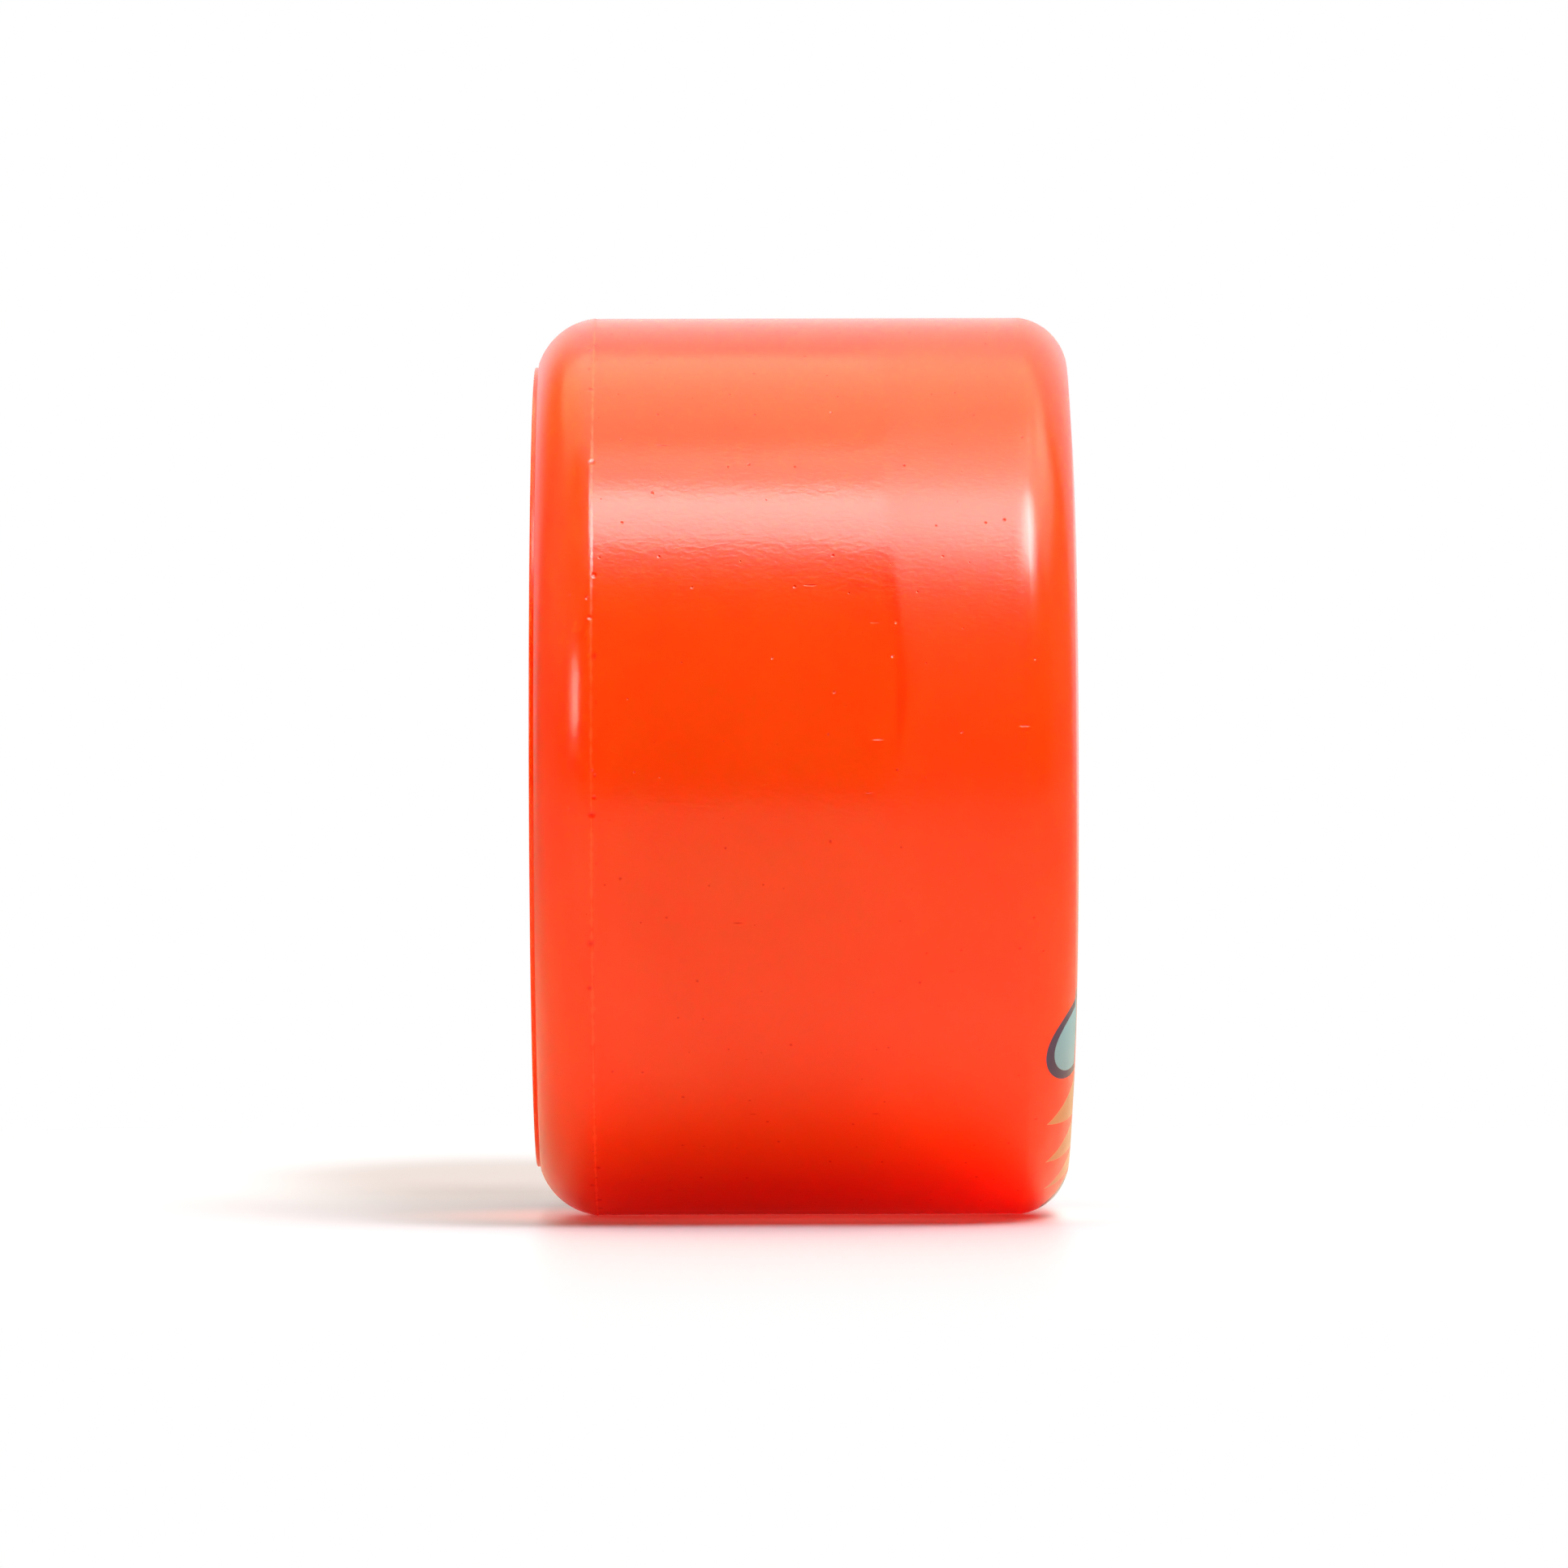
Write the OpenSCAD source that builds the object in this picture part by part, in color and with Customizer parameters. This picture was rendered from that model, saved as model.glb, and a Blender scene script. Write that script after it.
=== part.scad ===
// Longboard wheel: a cast urethane tyre on a spoked core, turning on two ball bearings with a spacer between.
// The axle lies along Y. +Y is the printed front face, -Y the back face beside the truck.
// The origin is on the axle, halfway between the two side faces.

/* [Tyre] */
// Outside diameter over the tread
wheel_d = 70; // [64:1:90]
// Overall width between the two side faces
wheel_w = 41.6; // [37:0.1:56]
// Radius of the back shoulder
back_lip_r = 5.2; // [3:0.1:7]
// Slope of the back shoulder where it breaks away from the tread at the trim line
back_lip_break = 6; // [3:1:20]
// Slope of the back shoulder where it ends at the back face
back_lip_end = 70; // [60:1:85]
// Height of the raised step round the back face
back_step_h = 0.35; // [0.2:0.05:1]
// Width of the ledge between the back shoulder and the step
back_ledge_w = 0.42; // [0.1:0.02:1]
// Width of the flat band on the back face
back_band_w = 6; // [3:0.5:8]
// Bow of the wall that dips from the back band to the core
back_cup_bow = 0.9; // [0.3:0.1:1.5]
// Radius of the front shoulder
front_lip_r = 4.5; // [3:0.1:7]
// Slope of the front shoulder where it runs out of the tread
front_lip_break = 3; // [2:1:20]
// Slope of the front shoulder where it meets the front face
front_lip_end = 78; // [60:1:85]
// Width of the flat band on the front face
front_band_w = 4.6; // [2:0.2:7]
// Bow of the wall that dips from the front band to the core
front_cup_bow = 1.5; // [0.5:0.1:2]

/* [Core] */
// Outside diameter of the core's rim
core_d = 37.2; // [34:0.2:40]
// How far the core sits towards the back face
core_setback = 3; // [0:0.5:4]
// Thickness of the core's rim
core_rim_t = 2; // [1:0.1:2.5]
// Wall of the tube that holds the bearings
core_tube_t = 2.4; // [1.5:0.1:3]
// Thickness of the web halfway along the core
core_web_t = 3; // [1.5:0.5:5]
// How far the core's faces stand past the bearings
core_stand = 0.3; // [0.1:0.1:1]
// How far the core's rim stands out of the urethane
rim_stand = 0.4; // [0.2:0.1:0.8]
// Number of spokes
spoke_count = 12; // [6:1:16]
// Thickness of a spoke
spoke_t = 2; // [1:0.1:3]
// How far the spokes lie below the core's faces
spoke_inset = 1.2; // [0.5:0.1:3]
// Break of the core's sharp edges
core_edge = 0.4; // [0.2:0.1:0.6]
// Height of the teeth that lock the core into the urethane
anchor_h = 2.2; // [1:0.1:3]
// Width of the ring of teeth along the axle
anchor_w = 5; // [3:0.5:8]
// Number of teeth
anchor_teeth = 18; // [10:1:24]

/* [Bearings] */
// Bore of the bearing, which slides on the axle
bearing_bore = 8; // [7:0.5:9]
// Outside diameter of the bearing
bearing_od = 22; // [21:0.5:24]
// Width of the bearing
bearing_w = 7; // [6:0.5:9]
// Diameter of a ball
ball_d = 3.97; // [3.4:0.01:4]
// Number of balls
ball_count = 7; // [5:1:8]
// Open height between the shoulders of the two races
race_gap = 3.05; // [2.6:0.05:3.4]
// Chamfer on the outer corners of the races
race_edge = 0.3; // [0.1:0.05:0.5]
// Width of the ledge in the outer race that carries a shield
shield_ledge_w = 0.7; // [0.5:0.05:0.9]
// Thickness of a shield
shield_t = 0.3; // [0.2:0.05:0.4]
// Wire diameter of a snap ring
snap_wire_d = 0.56; // [0.4:0.02:0.6]
// How far a snap ring lies below the bearing's face
snap_inset = 0.06; // [0.02:0.01:0.2]
// Angle of the gap between a snap ring's ends
snap_gap_angle = 36; // [15:1:60]
// Height of the cage's horns past the middle of the balls
cage_horn_h = 0.9; // [0.5:0.1:1.2]
// Width of the slot between two horns
cage_slot_w = 1.1; // [0.6:0.1:1.6]

/* [Spacer] */
// Distance between the two bearings, which the spacer fills
bearing_gap = 10; // [8:0.5:14]
// Outside diameter of the spacer
spacer_od = 10.6; // [10:0.1:11.4]
// Clearance of the spacer's bore on the axle, in radius
spacer_slack = 0.2; // [0.1:0.05:0.4]
// Inner radius of the core's shoulder, kept clear of the bearing's moving pieces, less the race's shoulder radius
seat_margin = 0.5; // [0.2:0.1:0.8]

/* [Clearances] */
// Play between a ball and the bottom of its raceway
ball_play = 0.06; // [0.02:0.01:0.1]
// Play between a ball and its pocket in the cage
pocket_play = 0.1; // [0.05:0.01:0.2]
// Gap between the cage and the races or shields beside it
cage_gap = 0.17; // [0.1:0.01:0.3]
// Gap between a shield and the inner race
shield_gap = 0.3; // [0.15:0.05:0.5]
// Play of a shield and a snap ring in the outer race
snap_play = 0.02; // [0.01:0.01:0.05]

/* [Hidden] */
$fn = 96;
cut_over = 1; // How far a cutting shape runs past the faces that it cuts

// Tyre
tread_r = wheel_d / 2;
face_y = wheel_w / 2;
core_r = core_d / 2;
back_ledge_y = -face_y + back_step_h;
back_lip_mid = [tread_r - back_lip_r * cos(back_lip_break), back_ledge_y + back_lip_r * sin(back_lip_end)];
back_step_r = back_lip_mid[0] + back_lip_r * cos(back_lip_end) - back_ledge_w;
front_lip_mid = [tread_r - front_lip_r * cos(front_lip_break), face_y - front_lip_r * sin(front_lip_end)];
front_face_r = front_lip_mid[0] + front_lip_r * cos(front_lip_end);

// Core
core_y = -core_setback;
seat_half = bearing_gap / 2;
core_half = seat_half + bearing_w + core_stand;
seat_r = bearing_od / 2;
tube_r = seat_r + core_tube_t;
rim_in_r = core_r - core_rim_t;

// Bearings
ball_r = ball_d / 2;
pitch_r = (bearing_bore + bearing_od) / 4;
inner_shoulder_r = pitch_r - race_gap / 2;
outer_shoulder_r = pitch_r + race_gap / 2;
raceway_r = 0.52 * ball_d; // The raceway is a little rounder than the ball
pocket_r = ball_r + pocket_play;
snap_y = bearing_w / 2 - snap_inset - snap_wire_d / 2;
ledge_y = snap_y - snap_wire_d / 2 - snap_play - shield_t;
cage_back = ledge_y - cage_gap; // The cage fills the width between the shields
recess_r = outer_shoulder_r + shield_ledge_w;
shield_out_r = recess_r - snap_play;
shield_in_r = inner_shoulder_r + shield_gap;
joggle_r = outer_shoulder_r - shield_t;
joggle_h = 0.8 * shield_t; // The shield's middle stands this far outside its edge
snap_wire_r = snap_wire_d / 2;
snap_bite = 0.4 * snap_wire_r; // Depth of the snap ring in its groove
snap_mid = [recess_r - snap_wire_r + snap_bite, snap_y];
cage_in_r = inner_shoulder_r + 3 * cage_gap;
cage_out_r = outer_shoulder_r - 3 * cage_gap;
seat_in_r = outer_shoulder_r + seat_margin;
front = 1;
back = -1;

// Turns a profile of radius and axle position round the axle
module spun(angle = 360) {
    rotate([-90, 0, 0]) rotate_extrude(angle = angle) children();
}

// Repeats a piece evenly round the axle
module round_axle(count) {
    for (i = [0 : count - 1]) rotate([0, i * 360 / count, 0]) children();
}

// Puts a bearing piece in its seat, with its own +Y pointing out of the wheel
module in_seat(side) {
    translate([0, core_y + side * (seat_half + bearing_w / 2), 0]) mirror([0, side == back ? 1 : 0, 0]) children();
}

// Rectangle from one radius to another and one axle position to another
module band(r1, r2, y1, y2) {
    translate([r1, y1]) square([r2 - r1, y2 - y1]);
}

// Rectangle with its four corners cut off
module chamfered_band(r1, r2, y1, y2, edge) {
    polygon([
        [r1 + edge, y1], [r2 - edge, y1], [r2, y1 + edge], [r2, y2 - edge],
        [r2 - edge, y2], [r1 + edge, y2], [r1, y2 - edge], [r1, y1 + edge]
    ]);
}

// Disc that scoops a bowed wall between the edge of a flat band and the core's rim
module cup_cut(band_edge, rim_edge, bow) {
    chord = rim_edge - band_edge;
    half = norm(chord) / 2;
    r = (half * half + bow * bow) / (2 * bow);
    towards_axle = [-abs(chord[1]), abs(chord[0]) * sign(band_edge[1])] / norm(chord);
    translate((band_edge + rim_edge) / 2 + (r - bow) * towards_axle) circle(r = r, $fn = 360);
}

// Tyre

module tyre_profile() {
    difference() {
        union() {
            band(core_r, tread_r, back_lip_mid[1], front_lip_mid[1]);
            band(core_r, min(back_lip_mid[0], front_lip_mid[0]), back_ledge_y, face_y);
            // Each shoulder is a disc that the tread cuts off a little below its top
            intersection() {
                translate(back_lip_mid) circle(r = back_lip_r);
                band(core_r, tread_r, back_ledge_y, back_lip_mid[1] + cut_over);
            }
            intersection() {
                translate(front_lip_mid) circle(r = front_lip_r);
                band(core_r, tread_r, front_lip_mid[1] - cut_over, face_y);
            }
            band(core_r, back_step_r, -face_y, back_ledge_y + cut_over);
        }
        cup_cut([front_face_r - front_band_w, face_y], [core_r, core_y + core_half - rim_stand], front_cup_bow);
        cup_cut([back_step_r - back_band_w, -face_y], [core_r, core_y - core_half + rim_stand], back_cup_bow);
    }
}

module urethane_tyre() {
    color("orangered") difference() {
        spun() tyre_profile();
        anchor_teeth_ring();
    }
}

// Core

module core_profile() {
    band(seat_in_r, tube_r, core_y - seat_half, core_y + seat_half);
    chamfered_band(seat_r, tube_r, core_y - core_half, core_y + core_half, core_edge);
    band((seat_r + tube_r) / 2, (rim_in_r + core_r) / 2, core_y - core_web_t / 2, core_y + core_web_t / 2);
    polygon([
        [rim_in_r + core_edge, core_y - core_half], [core_r, core_y - core_half],
        [core_r, core_y + core_half], [rim_in_r + core_edge, core_y + core_half],
        [rim_in_r, core_y + core_half - core_edge], [rim_in_r, core_y - core_half + core_edge]
    ]);
}

// Teeth round the rim that the urethane is cast into
module anchor_teeth_ring() {
    tooth_w = PI * core_d / anchor_teeth / 2;
    root = core_rim_t / 2;
    round_axle(anchor_teeth)
        translate([core_r - root, core_y - anchor_w / 2, -tooth_w / 2]) cube([root + anchor_h, anchor_w, tooth_w]);
}

module spokes() {
    spoke_half = core_half - spoke_inset;
    inner_end = (seat_r + tube_r) / 2;
    outer_end = (rim_in_r + core_r) / 2;
    round_axle(spoke_count)
        translate([inner_end, core_y - spoke_half, -spoke_t / 2])
            cube([outer_end - inner_end, 2 * spoke_half, spoke_t]);
}

module hub_core() {
    color("ivory") union() {
        spun() core_profile();
        spokes();
        anchor_teeth_ring();
    }
}

// Spacer between the bearings

module bearing_spacer() {
    color("silver") spun() chamfered_band(
        bearing_bore / 2 + spacer_slack, spacer_od / 2, core_y - seat_half, core_y + seat_half, race_edge / 2
    );
}

// Bearing

module outer_race() {
    color("lightsteelblue") spun() difference() {
        chamfered_band(outer_shoulder_r, seat_r, -bearing_w / 2, bearing_w / 2, race_edge);
        translate([pitch_r + ball_r + ball_play - raceway_r, 0]) circle(r = raceway_r);
        for (face = [-1, 1]) scale([1, face]) {
            band(outer_shoulder_r - cut_over, recess_r, ledge_y, bearing_w / 2 + cut_over);
            translate(snap_mid) circle(r = snap_wire_r + snap_play);
        }
    }
}

module inner_race() {
    color("lightsteelblue") spun() difference() {
        chamfered_band(bearing_bore / 2, inner_shoulder_r, -bearing_w / 2, bearing_w / 2, race_edge);
        translate([pitch_r - ball_r - ball_play + raceway_r, 0]) circle(r = raceway_r);
    }
}

module balls() {
    color("gainsboro") round_axle(ball_count) translate([pitch_r, 0, 0]) sphere(r = ball_r);
}

// One-piece crown cage: a ring behind the balls, with horns that hold each ball in its pocket
module ball_cage() {
    color("darkslategray") difference() {
        spun() band(cage_in_r, cage_out_r, -cage_back, cage_horn_h);
        // Each pocket's poles lie along a radius, clear of the cage's walls
        round_axle(ball_count) translate([pitch_r, 0, 0]) rotate([90, 0, 90]) sphere(r = pocket_r);
        rotate([0, 180 / ball_count, 0]) round_axle(ball_count)
            translate([cage_in_r - cut_over, -cage_horn_h, -cage_slot_w / 2])
                cube([cage_out_r - cage_in_r + 2 * cut_over, 2 * cage_horn_h + cut_over, cage_slot_w]);
    }
}

// Pressed steel shield: its edge lies on the outer race's ledge, and its middle stands a little further out
module shield() {
    color("slategray") spun() polygon([
        [shield_out_r, ledge_y], [shield_out_r, ledge_y + shield_t], [joggle_r, ledge_y + shield_t],
        [joggle_r - joggle_h, ledge_y + shield_t + joggle_h], [shield_in_r, ledge_y + shield_t + joggle_h],
        [shield_in_r, ledge_y + joggle_h], [joggle_r - joggle_h, ledge_y + joggle_h], [joggle_r, ledge_y]
    ]);
}

// Wire ring that springs into the outer race's groove and holds the shield down
module snap_ring() {
    color("silver") rotate([0, snap_gap_angle / 2, 0])
        spun(360 - snap_gap_angle) translate(snap_mid) circle(r = snap_wire_r);
}

// Turns a piece of a bearing to face into the wheel
module inboard() {
    mirror([0, 1, 0]) children();
}

urethane_tyre();
hub_core();
bearing_spacer();
in_seat(front) outer_race();  // front_outer_race
in_seat(front) inner_race();  // front_inner_race
in_seat(front) balls();  // front_balls
in_seat(front) ball_cage();  // front_ball_cage
in_seat(front) shield();  // front_outboard_shield
in_seat(front) snap_ring();  // front_outboard_snap_ring
in_seat(front) inboard() shield();  // front_inboard_shield
in_seat(front) inboard() snap_ring();  // front_inboard_snap_ring
in_seat(back) outer_race();  // back_outer_race
in_seat(back) inner_race();  // back_inner_race
in_seat(back) balls();  // back_balls
in_seat(back) ball_cage();  // back_ball_cage
in_seat(back) shield();  // back_outboard_shield
in_seat(back) snap_ring();  // back_outboard_snap_ring
in_seat(back) inboard() shield();  // back_inboard_shield
in_seat(back) inboard() snap_ring();  // back_inboard_snap_ring
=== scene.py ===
import bpy, bmesh, math
from mathutils import Matrix, Vector


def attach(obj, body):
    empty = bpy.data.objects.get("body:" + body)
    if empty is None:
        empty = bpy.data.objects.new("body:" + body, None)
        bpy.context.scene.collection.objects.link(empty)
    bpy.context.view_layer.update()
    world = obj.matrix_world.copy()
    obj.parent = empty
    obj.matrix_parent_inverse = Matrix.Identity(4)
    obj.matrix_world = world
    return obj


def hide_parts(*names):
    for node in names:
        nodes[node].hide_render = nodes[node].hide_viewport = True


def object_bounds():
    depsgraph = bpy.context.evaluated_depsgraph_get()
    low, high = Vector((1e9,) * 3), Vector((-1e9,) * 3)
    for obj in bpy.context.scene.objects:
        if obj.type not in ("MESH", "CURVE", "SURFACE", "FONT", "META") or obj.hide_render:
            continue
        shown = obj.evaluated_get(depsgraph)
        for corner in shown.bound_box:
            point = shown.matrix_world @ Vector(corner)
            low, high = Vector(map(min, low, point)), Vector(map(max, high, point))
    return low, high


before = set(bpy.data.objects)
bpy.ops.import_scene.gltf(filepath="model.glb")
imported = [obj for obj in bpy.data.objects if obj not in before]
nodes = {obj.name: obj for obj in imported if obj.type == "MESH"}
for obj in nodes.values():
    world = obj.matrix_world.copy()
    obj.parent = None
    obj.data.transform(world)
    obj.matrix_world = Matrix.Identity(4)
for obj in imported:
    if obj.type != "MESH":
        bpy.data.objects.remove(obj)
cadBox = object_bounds()  # the CAD model's box, before anything is added
scene = bpy.context.scene
scene.view_settings.view_transform = "Standard"
scene.cycles.diffuse_bounces = 12  # light goes back and forth between the tread and the floor
mm = 0.001
print("frame loaded:", len(nodes), "CAD nodes")


def tint(code):  # sRGB hex to linear, with alpha
    parts = [int(code[i:i + 2], 16) / 255 for i in (1, 3, 5)]
    return [p / 12.92 if p <= 0.04045 else ((p + 0.055) / 1.055) ** 2.4 for p in parts] + [1.0]


# adds a node of a shader kind: a setting is one of the node's own properties, or else a socket
def addNode(tree, kind, settings=None, links=None):
    node = tree.nodes.new("ShaderNode" + kind)
    for key, value in (settings or {}).items():
        if isinstance(key, str) and key in node.bl_rna.properties:
            setattr(node, key, value)
        else:
            node.inputs[key].default_value = value
    for key, source in (links or {}).items():
        tree.links.new(source, node.inputs[key])
    return node


def newMaterial(name, settings):  # gives the material, its node tree, its shader and the Object coordinates
    material = bpy.data.materials.new(name)
    material.use_nodes = True
    tree = material.node_tree
    shader = tree.nodes["Principled BSDF"]
    for key, value in settings.items():
        shader.inputs[key].default_value = value
    place = addNode(tree, "TexCoord").outputs["Object"]
    return material, tree, shader, place


# camera: level with the axle, square to the tread, far off with a long lens
cameraShape = {
    "eye": (0.87, -0.00365, 0.0), "aim": (0.0, -0.00149, -0.00137), "roll": -0.15,  # metres, degrees
    "lens": 255.7, "sensor": 36.0,
}
cameraData = bpy.data.cameras.new("photoCamera")
cameraData.sensor_width = cameraShape["sensor"]
cameraData.lens = cameraShape["lens"]
camera = bpy.data.objects.new("photoCamera", cameraData)
scene.collection.objects.link(camera)
gaze = (Vector(cameraShape["aim"]) - Vector(cameraShape["eye"])).to_track_quat("-Z", "Y").to_matrix()
turned = gaze @ Matrix.Rotation(math.radians(cameraShape["roll"]), 3, "Z")
camera.matrix_world = Matrix.Translation(cameraShape["eye"]) @ turned.to_4x4()
scene.camera = camera
print("camera placed")


# urethane tyre: one profile, spun round the axle (radius along X, axle along Y, in mm)
tyreShape = {
    "treadRadius": 35.0, "halfWidth": 20.8, "coreRadius": 18.6,
    "backLipRadius": 5.2, "backLipBreak": 6.0, "backLipEnd": 70.0,  # degrees from the tread
    "stepHeight": 0.35, "ledgeWidth": 0.42, "backBand": 6.0, "backRimY": -14.9, "backBow": 0.9,
    "frontLipRadius": 4.3, "frontLipBreak": 3.0, "frontLipEnd": 74.0,
    "frontDrop": 0.34,  # the front face rises this much from lip to cup
    "frontBand": 5.05, "frontRimY": 8.9, "frontBow": 1.5,
    "trimDrop": 0.03, "trimRun": 0.12,  # the tread is ground this much below the trim line
    "bandRound": 0.6, "stepRound": 0.1,
    # how finely each run of the profile is cut
    "treadCuts": 30, "frontLipCuts": 26, "frontBandCuts": 4, "frontCupCuts": 22, "coreCuts": 6,
    "backCupCuts": 18, "backBandCuts": 5, "backLipCuts": 28, "bandRoundCuts": 6, "stepRoundCuts": 3,
    "turnCuts": 256,
}
mergeGap = 1e-6  # metres, points closer than this are one
ringGap = 2e-6  # how near to a ring its own points lie
sharpFrom = math.radians(40)  # steeper edges are drawn sharp


def lineTo(bm, vert, radius, axle, steps=1):  # draws a straight run of the profile
    start = vert.co.copy()
    end = Vector((radius * mm, axle * mm, 0.0))
    for i in range(1, steps + 1):
        made = bmesh.ops.extrude_vert_indiv(bm, verts=[vert])
        vert = made["verts"][0]
        vert.co = start.lerp(end, i / steps)
    return vert


def arcAbout(bm, vert, centre, degrees, steps):  # draws an arc of the profile
    made = bmesh.ops.spin(bm, geom=[vert], cent=(centre[0] * mm, centre[1] * mm, 0.0), axis=(0, 0, 1),
                          angle=math.radians(degrees), steps=steps, use_merge=False, use_duplicate=False)
    return [g for g in made["geom_last"] if isinstance(g, bmesh.types.BMVert)][0]


def cupArc(start, end, bow):  # the arc that dips from a band to the core: its middle and its turn in degrees
    a, b = Vector(start), Vector(end)
    chord = b - a
    half = chord.length / 2
    radius = (half ** 2 + bow ** 2) / (2 * bow)
    side = Vector((-abs(chord.y), abs(chord.x) * (1 if a.y > 0 else -1))) / chord.length
    return (a + b) / 2 + side * (radius - bow), math.degrees(2 * math.asin(half / radius))


# spins a closed profile round the axle and rounds some of its rings
def spinPiece(bm, name, rounds, turnCuts):
    bmesh.ops.remove_doubles(bm, verts=bm.verts, dist=mergeGap)
    bmesh.ops.spin(bm, geom=bm.verts[:] + bm.edges[:], cent=(0, 0, 0), axis=(0, 1, 0), angle=math.tau,
                   steps=turnCuts, use_merge=True, use_duplicate=False)
    bmesh.ops.remove_doubles(bm, verts=bm.verts, dist=mergeGap)
    bmesh.ops.recalc_face_normals(bm, faces=bm.faces)
    for radius, axle, size, segments in rounds:
        on = lambda p: abs(math.hypot(p.x, p.z) - radius * mm) < ringGap and abs(p.y - axle * mm) < ringGap
        ring = [e for e in bm.edges if on(e.verts[0].co) and on(e.verts[1].co)]
        bmesh.ops.bevel(bm, geom=ring, offset=size * mm, offset_type="OFFSET", affect="EDGES",
                        segments=segments, profile=0.5, material=-1)
    mesh = bpy.data.meshes.new(name)
    bm.to_mesh(mesh)
    bm.free()
    mesh.shade_smooth()
    mesh.set_sharp_from_angle(angle=sharpFrom)
    piece = bpy.data.objects.new(name, mesh)
    scene.collection.objects.link(piece)
    return piece


def makeTyre(shape):
    r, half = shape["treadRadius"], shape["halfWidth"]
    backLip, frontLip = shape["backLipRadius"], shape["frontLipRadius"]
    backBreak, backEnd = math.radians(shape["backLipBreak"]), math.radians(shape["backLipEnd"])
    frontBreak, frontEnd = math.radians(shape["frontLipBreak"]), math.radians(shape["frontLipEnd"])
    ledgeY = -half + shape["stepHeight"]
    backMid = (r - backLip * math.cos(backBreak), ledgeY + backLip * math.sin(backEnd))
    frontMid = (r - frontLip * math.cos(frontBreak),
                half - shape["frontDrop"] - frontLip * math.sin(frontEnd))
    trimY = backMid[1] - backLip * math.sin(backBreak)
    low = r - shape["trimDrop"]
    lipStart = math.acos((low - frontMid[0]) / frontLip)
    frontFaceR = frontMid[0] + frontLip * math.cos(frontEnd)
    frontBandR = frontFaceR - shape["frontBand"]
    stepR = backMid[0] + backLip * math.cos(backEnd) - shape["ledgeWidth"]
    backBandR = stepR - shape["backBand"]

    bm = bmesh.new()
    first = bmesh.ops.create_vert(bm, co=(r * mm, trimY * mm, 0.0))["vert"][0]
    v = lineTo(bm, first, low, trimY + shape["trimRun"])
    v = lineTo(bm, v, low, trimY + 2 * shape["trimRun"])  # keeps the shading of the trim narrow
    v = lineTo(bm, v, low, frontMid[1] + frontLip * math.sin(lipStart), shape["treadCuts"])
    v = arcAbout(bm, v, frontMid, math.degrees(frontEnd - lipStart), shape["frontLipCuts"])
    v = lineTo(bm, v, frontBandR, half, shape["frontBandCuts"])
    middle, turn = cupArc((frontBandR, half), (shape["coreRadius"], shape["frontRimY"]), shape["frontBow"])
    v = arcAbout(bm, v, middle, -turn, shape["frontCupCuts"])
    v = lineTo(bm, v, shape["coreRadius"], shape["backRimY"], shape["coreCuts"])
    middle, turn = cupArc((backBandR, -half), (shape["coreRadius"], shape["backRimY"]), shape["backBow"])
    v = arcAbout(bm, v, middle, -turn, shape["backCupCuts"])
    v = lineTo(bm, v, stepR, -half, shape["backBandCuts"])
    v = lineTo(bm, v, stepR, ledgeY)
    v = lineTo(bm, v, stepR + shape["ledgeWidth"], ledgeY)
    v = arcAbout(bm, v, backMid, math.degrees(backEnd - backBreak), shape["backLipCuts"])
    rounds = ((frontBandR, half, shape["bandRound"], shape["bandRoundCuts"]),
              (backBandR, -half, shape["bandRound"], shape["bandRoundCuts"]),
              (stepR, -half, shape["stepRound"], shape["stepRoundCuts"]))
    tyre = spinPiece(bm, "tyre", rounds, shape["turnCuts"])
    return tyre, {"frontMid": frontMid, "frontFaceR": frontFaceR, "trimY": trimY}


tyre, tyreLines = makeTyre(tyreShape)
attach(tyre, "wheel")
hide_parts("urethane_tyre")
print("tyre spun:", len(tyre.data.polygons), "faces")


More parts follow.
